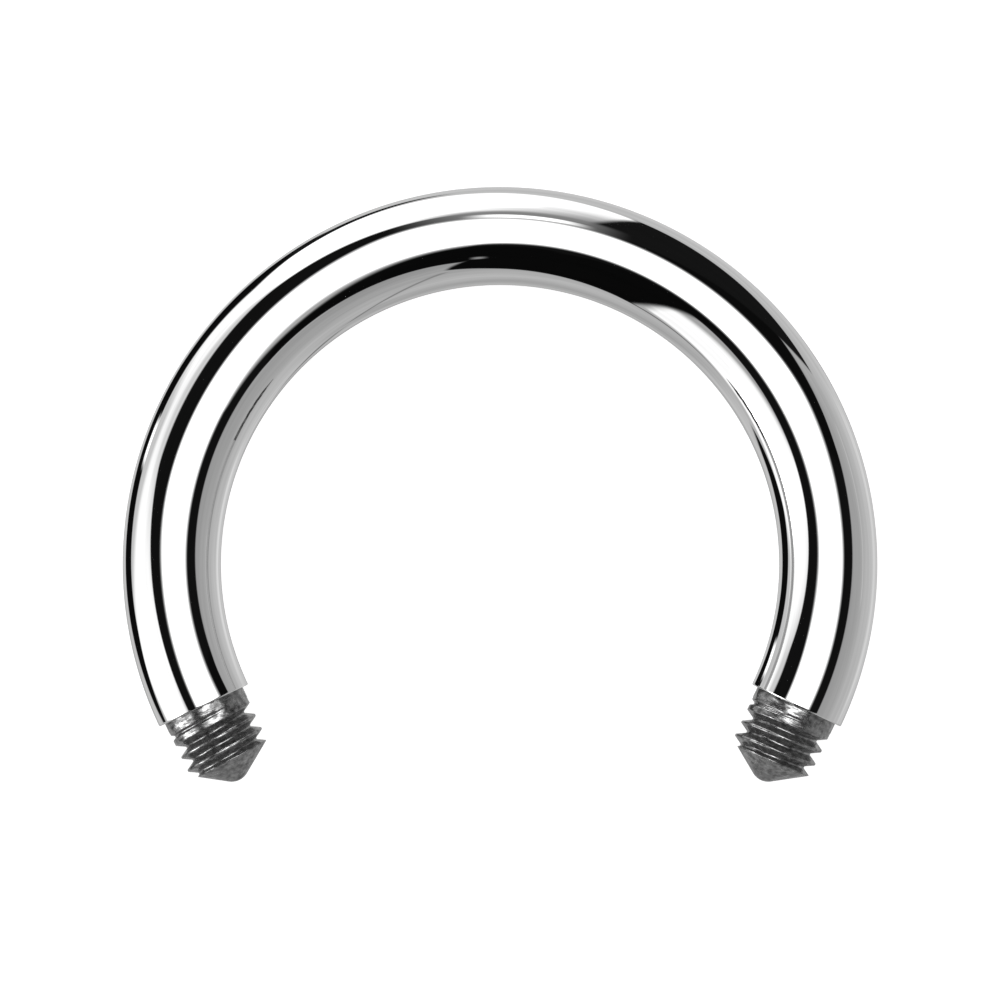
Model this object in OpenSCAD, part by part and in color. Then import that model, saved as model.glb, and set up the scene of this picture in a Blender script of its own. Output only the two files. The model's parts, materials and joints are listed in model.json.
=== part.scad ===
// A horseshoe barbell's bar: round steel wire bent to an open curve, each end turned down and threaded.
// It lies on its side. The origin is the centre of the curve, on the surface that the bar rests on.

/* [Wire] */
// Thickness of the round wire
wire_d = 1.6; // [1.6:0.1:2.4]
// Clear width inside the curve
inner_d = 9.1; // [7:0.1:16]
// Angle that each side of the curve runs on past the half circle, to its shoulder
end_drop = 25.5; // [0:0.5:35]
// Width of the broken edge round each shoulder
shoulder_break = 0.025; // [0.01:0.005:0.05]

/* [Threaded ends] */
// Diameter of the turned blank that the thread is cut in, which is also the plain neck's
thread_d = 1.4; // [1.2:0.01:1.5]
// Length of the plain neck before the first thread
neck_l = 0.17; // [0.1:0.01:0.3]
// Distance along the axis from one thread to the next
pitch = 0.235; // [0.2:0.005:0.3]
// Full angle between the two sides of the thread's groove
thread_angle = 60; // [55:1:70]
// Turns over which the groove reaches its full depth, counted from the neck
runout_turns = 0.85; // [0.5:0.05:1]
// How far the crests are worn down below the blank
crest_wear = 0.005; // [0.003:0.001:0.01]
// Direction in which the groove starts, turned from the side of the end
groove_start = 60; // [0:5:355]

/* [Tip] */
// Length of each threaded end, from its shoulder to its nose
end_l = 1.346; // [1.2:0.01:2.5]
// Full angle of the cone at the tip
tip_angle = 112; // [90:1:130]
// Radius of the rounded nose
nose_r = 0.29; // [0.15:0.01:0.35]

/* [Hidden] */

wire_r = wire_d / 2;
curve_r = (inner_d + wire_d) / 2;
blank_r = thread_d / 2;
curve_sides = 180;
wire_sides = 64;

// The thread's form follows from its pitch and angle, with flats that are usual shares of the pitch
crest_flat = 0.13 * pitch;
root_flat = 0.14 * pitch;
groove_half = (pitch - crest_flat) / 2;
flank = groove_half - root_flat / 2;
thread_depth = flank / tan(thread_angle / 2);
crest_r = blank_r - crest_wear;
first_groove = neck_l + root_flat / 2;
thread_sides = 32;

// The cone meets the rounded nose at this angle from the axis, where both point the same way
nose_edge_angle = 90 - tip_angle / 2;
nose_centre = end_l - nose_r;
nose_edge_r = nose_r * sin(nose_edge_angle);
nose_edge_z = nose_centre + nose_r * cos(nose_edge_angle);
nose_steps = 6;

// Each turn of the groove is four rows of points: its near edge, the two sides of its root, its far edge
groove_across = [-groove_half, -root_flat / 2, root_flat / 2, groove_half];
groove_cut = [0, 1, 1, 0];
groove_rows = len(groove_across);
grooves = ceil((end_l - first_groove) / pitch) + 1;
last_row = groove_rows * grooves - 1;

// What is joined reaches this far into the wire, and what is cut is cut this much past its edge
sink = 0.1;
margin = 0.05;

function groove_depth(turn) = thread_depth * min(1, turn / runout_turns);

// A point of the thread: rows climb one pitch in each turn, so the fourth row on starts where a row ends
function thread_point(row, side) =
    let (
        place = row % groove_rows,
        turn = floor(row / groove_rows) + side / thread_sides,
        radius = crest_r - groove_cut[place] * groove_depth(turn),
        angle = 360 * side / thread_sides
    )
    [radius * cos(angle), radius * sin(angle), first_groove + pitch * turn + groove_across[place]];

function ring(radius, z) =
    [for (side = [0 : thread_sides - 1])
        [radius * cos(360 * side / thread_sides), radius * sin(360 * side / thread_sides), z]];

// Numbers of the points, in the order in which thread_rod lists them
function base_point(side) = side % thread_sides;
function row_point(row, side) =
    side < thread_sides
        ? thread_sides * (row + 1) + side
        : thread_sides * (row + 1 + groove_rows);
function top_point(side) = thread_sides * (last_row + 2) + side % thread_sides;

function quad(low, low_next, high_next, high) = [[low, high, high_next], [low, high_next, low_next]];

// A screwed rod with flat ends, as one closed mesh, from inside the wire to well past the nose
module thread_rod() {
    seam = thread_sides - 1;
    points = concat(
        ring(crest_r, -2 * sink),
        [for (row = [0 : last_row]) for (side = [0 : seam]) thread_point(row, side)],
        ring(crest_r, end_l + 3 * pitch)
    );
    walls = [
        for (row = [0 : last_row - 1])
            for (side = [0 : seam])
                if (side < seam || row < last_row - groove_rows)
                    each quad(
                        row_point(row, side), row_point(row, side + 1),
                        row_point(row + 1, side + 1), row_point(row + 1, side)
                    )
    ];
    base_band = [
        for (side = [0 : seam - 1])
            each quad(base_point(side), base_point(side + 1), row_point(0, side + 1), row_point(0, side))
    ];
    top_band = [
        for (side = [0 : seam - 1])
            each quad(
                row_point(last_row, side), row_point(last_row, side + 1),
                top_point(side + 1), top_point(side)
            )
    ];
    // The first and last turns start and stop on the seam, where a fan of triangles closes each of them
    base_fan = [base_point(seam), base_point(0), for (row = [0 : groove_rows]) row_point(row, 0)];
    top_fan = [
        for (row = [last_row - groove_rows : last_row]) row_point(row, seam),
        top_point(seam),
        top_point(0)
    ];
    seam_faces = concat(
        [for (i = [0 : len(base_fan) - 2]) [row_point(0, seam), base_fan[i + 1], base_fan[i]]],
        [for (i = [0 : len(top_fan) - 2]) [row_point(last_row, 0), top_fan[i], top_fan[i + 1]]]
    );
    caps = [
        [for (side = [0 : seam]) base_point(side)],
        [for (side = [seam : -1 : 0]) top_point(side)]
    ];
    polyhedron(points = points, faces = concat(walls, base_band, top_band, seam_faces, caps));
}

// The cone and rounded nose that the screwed rod is pointed to
module tip_form() {
    wide_r = blank_r + margin;
    wide_z = nose_edge_z - (wide_r - nose_edge_r) / tan(tip_angle / 2);
    nose = [
        for (step = [0 : nose_steps])
            let (angle = nose_edge_angle * (1 - step / nose_steps))
            [nose_r * sin(angle), nose_centre + nose_r * cos(angle)]
    ];
    rotate_extrude($fn = wire_sides)
        polygon(concat([[0, -3 * sink], [wide_r, -3 * sink], [wide_r, wide_z]], nose));
}

// What is turned off one end of the bar: along +Z from the shoulder, neck, thread and tip
module threaded_end() {
    color("dimgray") {
        translate([0, 0, -sink]) cylinder(h = sink + neck_l, r = blank_r, $fn = wire_sides);
        intersection() {
            rotate([0, 0, groove_start]) thread_rod();
            tip_form();
        }
    }
}

// The sliver that is cut off to break the shoulder's edge
module shoulder_cut() {
    inside = wire_r - shoulder_break - margin;
    outside = wire_r + margin;
    rotate_extrude($fn = wire_sides)
        polygon([[inside, margin], [outside, margin], [outside, -shoulder_break - margin]]);
}

module curved_wire() {
    rotate([0, 0, -end_drop])
        rotate_extrude(angle = 180 + 2 * end_drop, $fn = curve_sides)
            translate([curve_r, 0]) circle(r = wire_r, $fn = wire_sides);
}

// Puts what is drawn along +Z on the left end of the curve, side -1, or the right, side 1
module at_end(side) {
    rotate([0, 0, -side * end_drop])
        translate([side * curve_r, 0, 0])
            rotate([90, 0, 0]) children();
}

module horseshoe_bar() {
    translate([0, 0, wire_r]) {
        color("silver")
            difference() {
                curved_wire();
                for (side = [-1, 1]) at_end(side) shoulder_cut();
            }
        for (side = [-1, 1]) at_end(side) threaded_end();
    }
}

horseshoe_bar();
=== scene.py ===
import json
from math import asin, cos, pi, radians, sin, tan

import bpy
from mathutils import Euler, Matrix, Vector


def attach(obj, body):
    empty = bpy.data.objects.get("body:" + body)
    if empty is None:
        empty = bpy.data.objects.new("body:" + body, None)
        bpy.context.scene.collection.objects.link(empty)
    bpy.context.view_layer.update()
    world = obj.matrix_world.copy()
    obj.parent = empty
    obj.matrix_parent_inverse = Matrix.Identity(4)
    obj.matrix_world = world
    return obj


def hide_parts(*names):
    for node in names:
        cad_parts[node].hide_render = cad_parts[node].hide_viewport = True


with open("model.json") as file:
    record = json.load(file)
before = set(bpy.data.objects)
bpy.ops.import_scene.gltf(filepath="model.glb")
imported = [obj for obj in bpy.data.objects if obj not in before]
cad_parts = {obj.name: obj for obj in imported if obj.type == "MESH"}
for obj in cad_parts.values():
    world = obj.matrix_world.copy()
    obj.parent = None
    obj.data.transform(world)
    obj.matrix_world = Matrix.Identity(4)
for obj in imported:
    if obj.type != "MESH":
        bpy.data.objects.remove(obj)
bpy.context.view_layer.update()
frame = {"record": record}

# Bent wire. The bar is one length of round surgical steel wire, bent cold to an open curve.
# Its sides run on past the half circle by the end drop, and the edge of each end is broken so that
# it can't scratch. Radius, curve and end drop come from the frame's mounts.
mm = 0.001
mounts = {mount["name"]: mount for mount in frame["record"]["mounts"]}
wire_radius = mounts["worn_wire"]["dims"]["r_mm"] * mm
curve_radius = mounts["curve_centre"]["dims"]["r_mm"] * mm + wire_radius
end_drop = asin(mounts["left_thread"]["axis"][0])
broken_edge = 0.025 * mm
guard_width = 0.004 * mm
faces_round = 160
wire_rows = 228
edge_rows = 6
guard_rows = 1

# Threaded ends. Each end of the wire is turned down to a plain neck and a blank, screwed with a
# right-hand thread whose groove fades in beside the neck, and pointed to a blunt cone.
# Both ends are the same, and the steel there is left as the cutter leaves it.
blank_radius = mounts["left_thread"]["dims"]["r_mm"] * mm
neck_length = 0.17 * mm
pitch = 0.235 * mm
thread_angle = radians(60)
crest_flat = 0.13 * pitch
root_flat = 0.14 * pitch
runout_turns = 0.85
crest_wear = 0.005 * mm
groove_start = radians(60)
end_length = 1.346 * mm
tip_angle = radians(112)
nose_radius = 0.29 * mm
corner_softness = 0.02 * mm
rows_per_thread = 22
nose_rows = 10
ledge_rows = 2
first_ledge_row = 0.94
flank = (pitch - crest_flat - root_flat) / 2
thread_depth = flank / tan(thread_angle / 2)
nose_edge = pi / 2 - tip_angle / 2
nose_edge_height = end_length - nose_radius * (1 - cos(nose_edge))

# The bar as one piece. Wire and ends are one length of steel, so one tree of nodes makes them as one
# closed skin, from the sizes above. Each point also keeps its place on the straight rod, before
# the bending, for the marks of polishing and cutting to follow.
seam_gap = 0.00002 * mm


class Amount:
    """A number inside a node tree. A sum written with it becomes Math nodes."""

    def __init__(self, socket):
        self.socket = socket

    def __add__(self, other):
        return reckon("ADD", self, other)

    def __radd__(self, other):
        return reckon("ADD", other, self)

    def __sub__(self, other):
        return reckon("SUBTRACT", self, other)

    def __rsub__(self, other):
        return reckon("SUBTRACT", other, self)

    def __mul__(self, other):
        return reckon("MULTIPLY", self, other)

    def __rmul__(self, other):
        return reckon("MULTIPLY", other, self)

    def __truediv__(self, other):
        return reckon("DIVIDE", self, other)


def feed(socket, value):
    """Gives an input a plain value, or links it to what works the value out."""
    if isinstance(value, Amount):
        socket.id_data.links.new(value.socket, socket)
    elif isinstance(value, bpy.types.NodeSocket):
        socket.id_data.links.new(value, socket)
    else:
        socket.default_value = value


def reckon(operation, *numbers):
    """A Math node's result, in the tree that its numbers come from."""
    numbers = [Amount(number) if isinstance(number, bpy.types.NodeSocket) else number for number in numbers]
    tree = next(number.socket.id_data for number in numbers if isinstance(number, Amount))
    node = tree.nodes.new("ShaderNodeMath")
    node.operation = operation
    for socket, number in zip(node.inputs, numbers):
        feed(socket, number)
    return Amount(node.outputs[0])


def place_of(x, y, z):
    """Three amounts as one vector."""
    tree = next(number.socket.id_data for number in (x, y, z) if isinstance(number, Amount))
    node = tree.nodes.new("ShaderNodeCombineXYZ")
    for socket, number in zip(node.inputs, (x, y, z)):
        feed(socket, number)
    return node.outputs[0]


def node_in(tree, kind, **settings):
    node = tree.nodes.new(kind)
    for name, value in settings.items():
        setattr(node, name, value)
    return node


def sheet_of_rows(tree, rows):
    """A flat sheet to be rolled into a tube, and each point's share of a turn and its row."""
    sheet = node_in(tree, "GeometryNodeMeshGrid")
    feed(sheet.inputs["Size X"], 1.0)
    feed(sheet.inputs["Size Y"], rows)
    feed(sheet.inputs["Vertices X"], size["Faces round"] + 1)
    feed(sheet.inputs["Vertices Y"], rows + 1)
    position = node_in(tree, "GeometryNodeInputPosition")
    parts = node_in(tree, "ShaderNodeSeparateXYZ")
    feed(parts.inputs[0], position.outputs[0])
    return sheet.outputs["Mesh"], Amount(parts.outputs["X"]) + 0.5, Amount(parts.outputs["Y"]) + rows / 2


def keep_on_mesh(tree, mesh, name, value, kind="FLOAT_VECTOR", domain="POINT"):
    store = node_in(tree, "GeometryNodeStoreNamedAttribute", data_type=kind, domain=domain)
    feed(store.inputs["Geometry"], mesh)
    feed(store.inputs["Name"], name)
    feed(store.inputs["Value"], value)
    return store.outputs["Geometry"]


def moved_to(tree, mesh, place):
    move = node_in(tree, "GeometryNodeSetPosition")
    feed(move.inputs["Geometry"], mesh)
    feed(move.inputs["Position"], place)
    return move.outputs["Geometry"]


sizes = {
    "Wire radius": wire_radius,
    "Curve radius": curve_radius,
    "End drop": end_drop,
    "Broken edge": broken_edge,
    "Guard width": guard_width,
    "Blank radius": blank_radius,
    "Neck length": neck_length,
    "Pitch": pitch,
    "Flank width": flank,
    "Root width": root_flat,
    "Thread depth": thread_depth,
    "Runout turns": runout_turns,
    "Crest wear": crest_wear,
    "Groove start": groove_start,
    "Tip angle": tip_angle,
    "Nose radius": nose_radius,
    "Nose edge": nose_edge,
    "Nose edge height": nose_edge_height,
    "Corner softness": corner_softness,
    "Faces round": faces_round,
    "Wire rows": wire_rows,
    "Edge rows": edge_rows,
    "Rows per thread": rows_per_thread,
    "Nose rows": nose_rows,
}
tree = bpy.data.node_groups.new("Bent and threaded bar", "GeometryNodeTree")
sockets = {
    name: tree.interface.new_socket(
        name=name,
        in_out="INPUT",
        socket_type="NodeSocketInt" if isinstance(value, int) else "NodeSocketFloat",
    )
    for name, value in sizes.items()
}
for name in ("Polished steel", "Machined steel"):
    sockets[name] = tree.interface.new_socket(name=name, in_out="INPUT", socket_type="NodeSocketMaterial")
tree.interface.new_socket(name="Bar", in_out="OUTPUT", socket_type="NodeSocketGeometry")
given = node_in(tree, "NodeGroupInput")
size = {name: Amount(given.outputs[name]) for name in sizes}

# The wire's rows run from the left shoulder to the right one, closest over the broken edges.
# A guard row close beside each edge keeps its turn out of the mirror of the wire
sheet, share, row = sheet_of_rows(tree, size["Wire rows"])
half_length = size["Curve radius"] * (size["End drop"] + pi / 2)
from_end = reckon("MINIMUM", row, size["Wire rows"] - row)
edge_turn = reckon("MINIMUM", from_end / size["Edge rows"], 1) * (pi / 2)
radius = size["Wire radius"] - size["Broken edge"] * (1 - reckon("SINE", edge_turn))
full_rows = size["Wire rows"] - size["Edge rows"] * 2 - guard_rows * 2
row_step = (half_length - size["Broken edge"] - size["Guard width"]) * 2 / full_rows
past_break = from_end - size["Edge rows"]
gap = size["Broken edge"] * (1 - reckon("COSINE", edge_turn))
gap = gap + reckon("MINIMUM", reckon("MAXIMUM", past_break, 0), guard_rows) * size["Guard width"]
gap = gap + reckon("MAXIMUM", past_break - guard_rows, 0) * row_step
along = reckon("SIGN", row - size["Wire rows"] / 2) * (half_length - gap)
around = share * (2 * pi)
bent = pi / 2 - along / size["Curve radius"]
reach = size["Curve radius"] + radius * reckon("COSINE", around)
straight_place = place_of(radius * reckon("COSINE", around), radius * reckon("SINE", around), along)
bent_place = place_of(
    reach * reckon("COSINE", bent),
    reach * reckon("SINE", bent),
    radius * reckon("SINE", around) + size["Wire radius"],
)
wire = keep_on_mesh(tree, sheet, "rod_place", straight_place)
wire = keep_on_mesh(tree, wire, "machined", False, "BOOLEAN", "FACE")
wire = moved_to(tree, wire, bent_place)

# The end's rows climb one pitch in each turn, so that the thread's edges run along them.
# Rows that would start below the shoulder lie on it, and those past the nose lie on its point
row_height = size["Pitch"] / size["Rows per thread"]
rows_to_nose_edge = size["Nose edge height"] / row_height
end_rows = reckon("CEIL", rows_to_nose_edge + size["Nose rows"]) + size["Rows per thread"] + ledge_rows
sheet, share, row = sheet_of_rows(tree, end_rows)
climb = row - ledge_rows - size["Rows per thread"] * (1 - share)
climb = reckon("MAXIMUM", climb, 0)
straight_height = reckon("MINIMUM", climb * row_height, size["Nose edge height"])
over_nose = (climb - rows_to_nose_edge) / size["Nose rows"]
over_nose = reckon("MINIMUM", reckon("MAXIMUM", over_nose, 0), 1)
nose_turn = size["Nose edge"] * (1 - over_nose)
nose_rise = reckon("COSINE", nose_turn) - reckon("COSINE", size["Nose edge"])
height = straight_height + size["Nose radius"] * nose_rise
cone_rise = (size["Nose edge height"] - straight_height) * reckon("TANGENT", size["Tip angle"] / 2)
tip_radius = cone_rise + size["Nose radius"] * reckon("SINE", nose_turn)

# Each point lies beside the nearest turn of the groove, off_groove from the middle of its root
first_groove = size["Neck length"] + size["Root width"] / 2
turned = reckon("FRACT", share - size["Groove start"] / (2 * pi))
grooves_up = (height - first_groove) / size["Pitch"] - turned
nearest = reckon("ROUND", grooves_up)
off_groove = reckon("ABSOLUTE", grooves_up - nearest) * size["Pitch"]
deepening = reckon("MAXIMUM", (nearest + turned) / size["Runout turns"], 0)
deepening = reckon("MINIMUM", deepening, 1)
cut = (size["Root width"] / 2 - off_groove) / size["Flank width"] + deepening
cut = reckon("MINIMUM", reckon("MAXIMUM", cut, 0), deepening)
thread_radius = size["Blank radius"] - size["Crest wear"] - size["Thread depth"] * cut
on_neck = reckon("LESS_THAN", height, size["Neck length"])
rod_radius = thread_radius + (size["Blank radius"] - thread_radius) * on_neck
end_radius = reckon("SMOOTH_MIN", rod_radius, tip_radius, size["Corner softness"])
ledge_share = reckon("MAXIMUM", 1 - row * first_ledge_row, 0)
ledge_width = size["Wire radius"] - size["Broken edge"] - size["Blank radius"]
end_radius = end_radius + ledge_width * ledge_share
around = share * (2 * pi)
end_place = place_of(end_radius * reckon("COSINE", around), end_radius * reckon("SINE", around), height)
end = moved_to(tree, sheet, end_place)
end = keep_on_mesh(tree, end, "machined", True, "BOOLEAN", "FACE")

# One end is put on each side of the wire, and the seams are closed
whole = node_in(tree, "GeometryNodeJoinGeometry")
feed(whole.inputs[0], wire)
for side in (-1, 1):
    position = node_in(tree, "GeometryNodeInputPosition")
    straight = node_in(tree, "ShaderNodeVectorMath", operation="MULTIPLY_ADD")
    feed(straight.inputs[0], position.outputs[0])
    feed(straight.inputs[1], (side, 1, side))
    feed(straight.inputs[2], place_of(0, 0, half_length * side))
    one_end = keep_on_mesh(tree, end, "rod_place", straight.outputs[0])
    turn_to_side = node_in(tree, "GeometryNodeTransform")
    across = size["Curve radius"] * reckon("COSINE", size["End drop"]) * side
    back = size["Curve radius"] * reckon("SINE", size["End drop"]) * -1
    feed(turn_to_side.inputs["Geometry"], one_end)
    feed(turn_to_side.inputs["Translation"], place_of(across, back, size["Wire radius"]))
    feed(turn_to_side.inputs["Rotation"], place_of(pi / 2, 0, size["End drop"] * -side))
    feed(whole.inputs[0], turn_to_side.outputs["Geometry"])
closed = node_in(tree, "GeometryNodeMergeByDistance")
feed(closed.inputs["Geometry"], whole.outputs[0])
feed(closed.inputs["Distance"], seam_gap)
smooth = node_in(tree, "GeometryNodeSetShadeSmooth")
feed(smooth.inputs["Geometry"], closed.outputs["Geometry"])
realised = node_in(tree, "GeometryNodeRealizeInstances")
feed(realised.inputs["Geometry"], smooth.outputs["Geometry"])
polished = node_in(tree, "GeometryNodeSetMaterial")
feed(polished.inputs["Geometry"], realised.outputs["Geometry"])
feed(polished.inputs["Material"], given.outputs["Polished steel"])
machined_faces = node_in(tree, "GeometryNodeInputNamedAttribute", data_type="BOOLEAN")
feed(machined_faces.inputs["Name"], "machined")
machined = node_in(tree, "GeometryNodeSetMaterial")
feed(machined.inputs["Geometry"], polished.outputs["Geometry"])
feed(machined.inputs["Selection"], machined_faces.outputs["Attribute"])
feed(machined.inputs["Material"], given.outputs["Machined steel"])
made = node_in(tree, "NodeGroupOutput")
feed(made.inputs["Bar"], machined.outputs["Geometry"])

# Finishes of the steel. The wire is buffed to a mirror, with faint hairlines left along it. The ends are
# left from the cutter: dull, grey and mottled, with torn rings that follow the cut, and part of their
# light is scattered as it is by a matt surface.
noise_low = 0.3
noise_high = 0.7


def bare_steel(name, metallic):
    """A steel finish to be worked on: its material and its shader."""
    material = bpy.data.materials.new(name)
    material.use_nodes = True
    shader = material.node_tree.nodes["Principled BSDF"]
    shader.inputs["Metallic"].default_value = metallic
    return material, shader


def marks(material, round_the_wire, along_the_wire, detail):
    """Uneven marks, so many to a metre round the wire and along it, as amounts about 0.5."""
    tree = material.node_tree
    place = node_in(tree, "ShaderNodeAttribute", attribute_name="rod_place")
    spread = node_in(tree, "ShaderNodeVectorMath", operation="MULTIPLY")
    feed(spread.inputs[0], place.outputs["Vector"])
    feed(spread.inputs[1], (round_the_wire, round_the_wire, along_the_wire))
    noise = node_in(tree, "ShaderNodeTexNoise")
    feed(noise.inputs["Vector"], spread.outputs[0])
    feed(noise.inputs["Scale"], 1.0)
    feed(noise.inputs["Detail"], detail)
    return Amount(noise.outputs[0])


def between(low, high, amount):
    """An amount from uneven marks, spread from the low value to the high one."""
    spread = node_in(amount.socket.id_data, "ShaderNodeMapRange")
    feed(spread.inputs["Value"], amount)
    feed(spread.inputs["From Min"], noise_low)
    feed(spread.inputs["From Max"], noise_high)
    feed(spread.inputs["To Min"], low)
    feed(spread.inputs["To Max"], high)
    return Amount(spread.outputs[0])


def raise_surface(shader, height, depth):
    bump = node_in(shader.id_data, "ShaderNodeBump")
    feed(bump.inputs["Height"], height)
    feed(bump.inputs["Distance"], depth)
    feed(shader.inputs["Normal"], bump.outputs[0])


polished_steel, shader = bare_steel("mirror_polished_steel", metallic=1.0)
hairlines = marks(polished_steel, round_the_wire=14000, along_the_wire=350, detail=2.0)
shade = between(0.82, 0.94, hairlines)
buffing = marks(polished_steel, round_the_wire=6000, along_the_wire=500, detail=3.0)
hairline_height = 0.00001 * mm
feed(shader.inputs["Base Color"], place_of(shade, shade, shade))
feed(shader.inputs["Roughness"], between(0.012, 0.04, buffing))
raise_surface(shader, hairlines, hairline_height)

machined_steel, shader = bare_steel("machined_steel", metallic=0.8)
mottling = marks(machined_steel, round_the_wire=11000, along_the_wire=13000, detail=5.0)
shade = between(0.09, 0.33, mottling)
cutter_rings = marks(machined_steel, round_the_wire=5000, along_the_wire=14000, detail=3.0)
dents = marks(machined_steel, round_the_wire=2600, along_the_wire=6500, detail=1.0)
dents_to_rings = 3
torn_height = 0.014 * mm
feed(shader.inputs["Base Color"], place_of(shade, shade, shade))
feed(shader.inputs["Roughness"], between(0.14, 0.28, cutter_rings))
raise_surface(shader, cutter_rings + dents * dents_to_rings, torn_height)

# The finished bar. The tree's skin becomes one plain mesh with two finishes, and stands for the bar
# of the CAD. It has no moving part, so it rides on the one body.
maker = bpy.data.objects.new("bar_maker", bpy.data.meshes.new("bar_maker"))
bpy.context.scene.collection.objects.link(maker)
modifier = maker.modifiers.new("Bar", "NODES")
modifier.node_group = tree
for name, value in {**sizes, "Polished steel": polished_steel, "Machined steel": machined_steel}.items():
    modifier[sockets[name].identifier] = value
view_of_scene = bpy.context.evaluated_depsgraph_get()
bar_mesh = bpy.data.meshes.new_from_object(
    maker.evaluated_get(view_of_scene), preserve_all_data_layers=True, depsgraph=view_of_scene
)
bpy.data.objects.remove(maker)
empty_slots = [slot for slot, material in enumerate(bar_mesh.materials) if material is None]
for slot in reversed(empty_slots):
    bar_mesh.materials.pop(index=slot)
bar = bpy.data.objects.new("polished_bar", bar_mesh)
bpy.context.scene.collection.objects.link(bar)
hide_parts("horseshoe_bar")
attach(bar, "root")

# Floor. The bar lies on a wide sheet of white acrylic, matt on top and lit from below, so that
# it shows as plain white. The bar doesn't mirror it, because the studio's cards stand there for it.
floor_side = 4.0
floor_mesh = bpy.data.meshes.new("floor")
ways = [(-1, -1), (1, -1), (1, 1), (-1, 1)]
floor_corners = [(x * floor_side / 2, y * floor_side / 2, 0) for x, y in ways]
floor_mesh.from_pydata(floor_corners, [], [(0, 1, 2, 3)])
floor = bpy.data.objects.new("floor", floor_mesh)
bpy.context.scene.collection.objects.link(floor)
lit_acrylic = bpy.data.materials.new("white_acrylic_lit_from_below")
lit_acrylic.use_nodes = True
shader = lit_acrylic.node_tree.nodes["Principled BSDF"]
shader.inputs["Base Color"].default_value = (0.3, 0.3, 0.3, 1)
shader.inputs["Roughness"].default_value = 0.7
shader.inputs["Emission Color"].default_value = (1, 1, 1, 1)
shader.inputs["Emission Strength"].default_value = 0.85
floor_mesh.materials.append(lit_acrylic)
floor.visible_glossy = False

# Studio light. The mirror finish shows the room round the bar: one large soft lamp overhead in a black
# surround, black blocks beside it, and white tent sheets to the left and behind. All of it is far off,
# and is painted as cards of light and dark on the sky, each laid over the ones before it.
surround_at_top = 0.33
surround_at_bottom = 0.6
surround_eases_from = 0.8
surround_eases_to = -1
studio_lean = radians(2)

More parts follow.
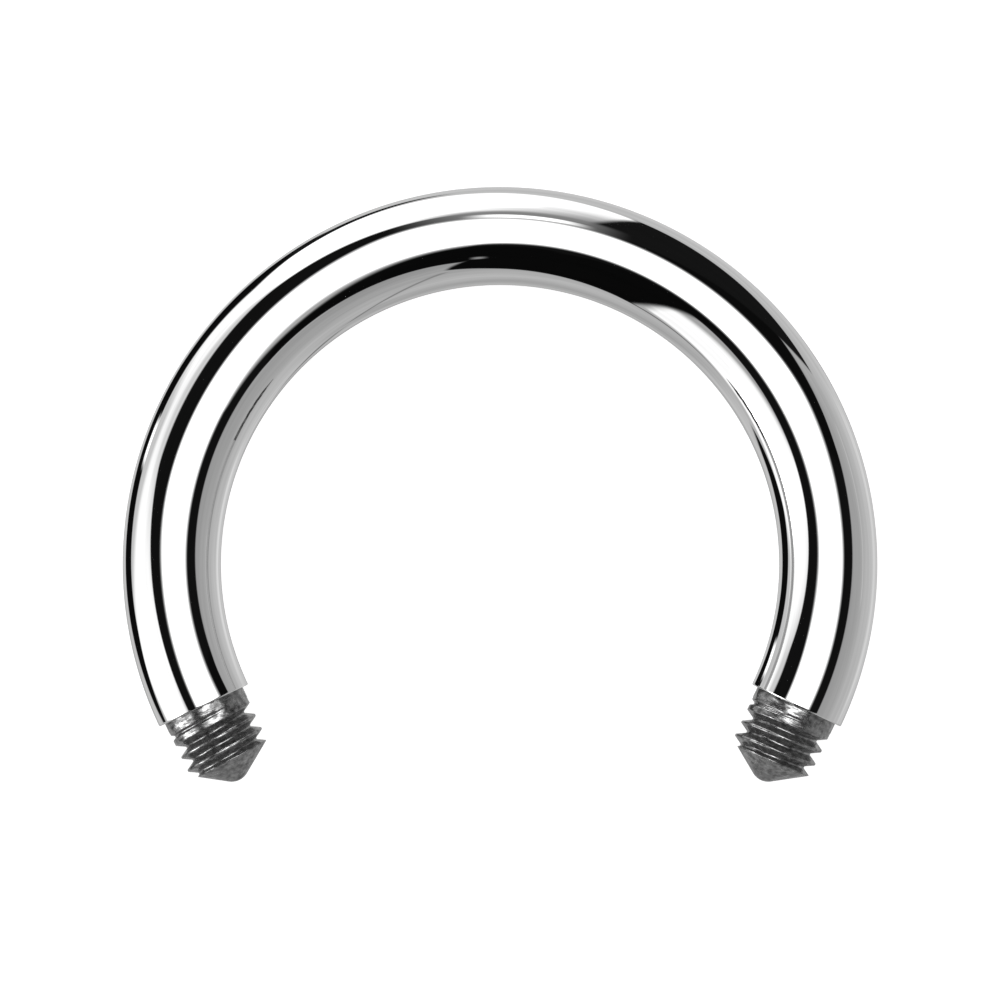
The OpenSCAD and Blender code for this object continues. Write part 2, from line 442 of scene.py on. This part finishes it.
# A card's name and strength, the degrees over which its edges fade in, one for all or one for each,
# and its corners: bearing from +X and angle from straight up, in degrees
studio_cards = [
    ("shade in front", 0.41, 20, [(-40, 100), (-40, 146), (-150, 146), (-150, 100)]),
    ("light low on the right", 0.74, 8, [(-30, 122), (30, 122), (30, 143), (-30, 143)]),
    ("far edge of the table", 0.56, 3, [(-8, 85), (24, 88), (24, 94), (-8, 91)]),
    ("shade under the bar", 0.44, 8, [(50, 146), (-45, 141), (-135, 141), (-210, 146), (135, 168)]),
    ("shade where the bar rests", 0.25, 5, [(-60, 158), (30, 158), (80, 172), (-110, 172)]),
    (
        "tent sheet on the left",
        1.15,
        (3, 3, 3, 6, 5, 3),
        [(228, 20), (140, 20), (126, 110), (160, 121), (203, 110), (242, 92.5)],
    ),
    ("bright middle of the left sheet", 8.0, 14, [(222, 50), (184, 50), (180, 96), (218, 99)]),
    ("shade low on the left sheet", 0.6, 12, [(206, 120), (190, 95), (150, 86), (138, 120)]),
    (
        "shade of the surround on the left sheet",
        0.72,
        (14, 14, 12, 8, 4, 1, 1),
        [(195, 42), (168, 88), (145, 91), (124, 78), (100, 62), (100, 20), (195, 20)],
    ),
    (
        "shade of the surround in front",
        0.4,
        (14, 14, 10, 2, 2),
        [(251, 66), (225, 53), (190, 48), (180, 20), (240, 20)],
    ),
    (
        "tent sheet behind",
        1.3,
        (2, 4, 2, 2, 2, 5),
        [(142, 92), (121, 131), (66, 114), (60, 60), (100, 45), (112, 45)],
    ),
    ("bright middle of the sheet behind", 8.0, 14, [(134, 72), (134, 112), (82, 112), (82, 72)]),
    ("shade of the block", 0.18, (30, 2, 2, 2, 2), [(112, 60), (64, 118), (55, 60), (80, 45), (105, 48)]),
    (
        "gap under the left sheet",
        0.004,
        (3, 3, 2, 3, 3),
        [(212, 112.5), (192, 104.3), (148, 116), (153, 145), (207, 128.5)],
    ),
    ("far side of the gap", 0.004, 2, [(184, 118), (150, 118), (148, 151.5), (178, 141)]),
    (
        "gap under the corner of the sheet",
        0.004,
        (3, 2, 2, 3, 2),
        [(158, 117), (132, 112.4), (118, 131), (118, 148.5), (156, 149.5)],
    ),
    (
        "gap under the sheet behind",
        0.01,
        2,
        [(126, 121.5), (104, 131.8), (88, 136), (104, 141.5), (114, 146.5), (128, 149)],
    ),
    ("edge of the left sheet", 0.12, 2, [(247, 88.5), (228, 96.5), (203, 109), (228, 101.5), (247, 97)]),
    ("fold in the table's cloth", 0.12, 2.5, [(278.5, 77), (282, 77), (304, 124), (299, 124)]),
    (
        "end of the fold",
        0.15,
        4,
        [(300, 120), (307, 130), (323, 136), (325, 149), (306, 146), (299, 130)],
    ),
    ("glow round the surround", 0.46, 6, [(135, 74), (23, 74), (-61, 56), (-60, 20), (90, 20)]),
    ("black surround", 0.006, (5, 3, 3, 2), [(162, 69), (132.5, 73.2), (18.6, 69), (-60.5, 52.6)]),
    (
        "flap of the surround",
        0.004,
        (2, 3, 2, 2, 2, 2),
        [(37.2, 83.2), (30, 76.6), (15, 66.8), (20, 45), (75, 48), (66, 85)],
    ),
    (
        "black block behind",
        0.008,
        2,
        [(68.5, 117.5), (47, 113.5), (36, 105.5), (27.5, 97.5), (36.8, 82.5), (55, 48), (79, 48)],
    ),
    (
        "black block in front",
        0.003,
        2,
        [(211.4, 16.6), (242.5, 95.5), (273, 82), (281.5, 73.5), (281.5, 69), (278, 53.5), (250, 20)],
    ),
    (
        "black corner between",
        0.003,
        2,
        [(-37.5, 51.1), (-83, 58.1), (256, 39.5), (256, 22.4), (-45, 25)],
    ),
    ("glint on the block", 0.9, 3, [(276.2, 45.5), (276.2, 54), (272, 53.5), (272, 46)]),
    ("opening under the left sheet", 1.5, 3, [(167, 112), (167, 125.5), (156.8, 125.5), (156.8, 112)]),
    ("haze by the lamp", 0.25, (14, 8, 10, 4), [(109, 40), (109, 68), (68, 68), (68, 42)]),
    ("opening by the lamp", 1.6, (6, 3, 6, 3), [(97, 44.5), (97, 55), (74, 55), (74, 44.5)]),
    (
        "dim corner of the lamp",
        0.44,
        (7, 8, 8, 1, 1, 1),
        [(276, 22.5), (300, 33), (310, 37), (333, 34.5), (30, 5), (230, 5)],
    ),
    (
        "lamp overhead",
        1.6,
        (9, 9, 7.5, 7.5, 7.5, 8, 9),
        [(32, 55.6), (60, 48.5), (107, 50.5), (170.5, 34), (225, 17.8), (277.5, 22), (332, 33.5)],
    ),
    ("bright middle of the lamp", 8.0, 14, [(-40, 14), (20, 38), (90, 36), (150, 30), (215, 12)]),
]


def towards(bearing, from_up):
    """A direction in the studio, all of which leans a little towards the bar's open side."""
    flat = sin(radians(from_up))
    direction = Vector((flat * cos(radians(bearing)), flat * sin(radians(bearing)), cos(radians(from_up))))
    direction.rotate(Euler((studio_lean, 0, 0)))
    return direction


def ramp(tree, value, start, end, low, high):
    """A value that eases from low at the start to high at the end."""
    spread = node_in(tree, "ShaderNodeMapRange", interpolation_type="SMOOTHSTEP")
    for socket, number in zip(spread.inputs, (value, start, end, low, high)):
        feed(socket, number)
    return Amount(spread.outputs[0])


def share_of_card(tree, direction, corners, softness):
    """How much of a card is seen in a direction: 1 inside its edges, 0 outside them."""
    corners = [towards(*corner) for corner in corners]
    middle = sum(corners, Vector())
    softness = softness if isinstance(softness, tuple) else (softness,) * len(corners)
    share = None
    for here, there, soft in zip(corners, corners[1:] + corners[:1], softness):
        square_to_edge = here.cross(there).normalized()
        if square_to_edge.dot(middle) < 0:
            square_to_edge.negate()
        inward = node_in(tree, "ShaderNodeVectorMath", operation="DOT_PRODUCT")
        feed(inward.inputs[0], direction)
        feed(inward.inputs[1], square_to_edge)
        inside_edge = ramp(tree, inward.outputs["Value"], 0, sin(radians(soft)), 0, 1)
        share = inside_edge if share is None else share * inside_edge
    return share


world = bpy.data.worlds.new("studio")
bpy.context.scene.world = world
world.use_nodes = True
world.cycles.sampling_method = "NONE"
tree = world.node_tree
direction = node_in(tree, "ShaderNodeTexCoord").outputs["Generated"]
upward = node_in(tree, "ShaderNodeVectorMath", operation="DOT_PRODUCT")
feed(upward.inputs[0], direction)
feed(upward.inputs[1], (0, 0, 1))
height_up = upward.outputs["Value"]
light = ramp(tree, height_up, surround_eases_from, surround_eases_to, surround_at_top, surround_at_bottom)
for name, strength, softness, corners in studio_cards:
    card_share = share_of_card(tree, direction, corners, softness)
    card_share.socket.node.label = name
    light = light + (strength - light) * card_share

# What is seen by way of a second part of the bar is evened out and dimmer
first_mirrors = 1.5
evened_share = 0.3
evened_least = 0.25
path = node_in(tree, "ShaderNodeLightPath")
second_time = reckon("GREATER_THAN", path.outputs["Glossy Depth"], first_mirrors)
evened = reckon("MINIMUM", light, 1) * evened_share + evened_least
mirrored = light + (evened - light) * second_time

# Only a mirror sees the cards. The camera and the floor see plain white
plain_white = tree.nodes["Background"]
plain_white.inputs["Color"].default_value = (1, 1, 1, 1)
cards_light = node_in(tree, "ShaderNodeBackground")
feed(cards_light.inputs["Color"], (1, 1, 1, 1))
feed(cards_light.inputs["Strength"], mirrored)
either = node_in(tree, "ShaderNodeMixShader")
feed(either.inputs["Fac"], path.outputs["Is Glossy Ray"])
tree.links.new(plain_white.outputs[0], either.inputs[1])
tree.links.new(cards_light.outputs[0], either.inputs[2])
tree.links.new(either.outputs[0], tree.nodes["World Output"].inputs["Surface"])

# Camera. It looks straight down on the bar from far off through a long lens, as the photograph does.
# The picture's width and middle give the bar the same size and place as it has there.
camera_height = 300 * mm
frame_width = 16.3 * mm
frame_middle = Vector((0, 1.047 * mm, wire_radius))
lens = bpy.data.cameras.new("camera")
lens.lens = lens.sensor_width * camera_height / frame_width
lens.clip_start = 0.01
lens.clip_end = 10
camera = bpy.data.objects.new("camera", lens)
camera.location = frame_middle + Vector((0, 0, camera_height))
bpy.context.scene.collection.objects.link(camera)
bpy.context.scene.camera = camera
bpy.context.scene.view_settings.view_transform = "Standard"
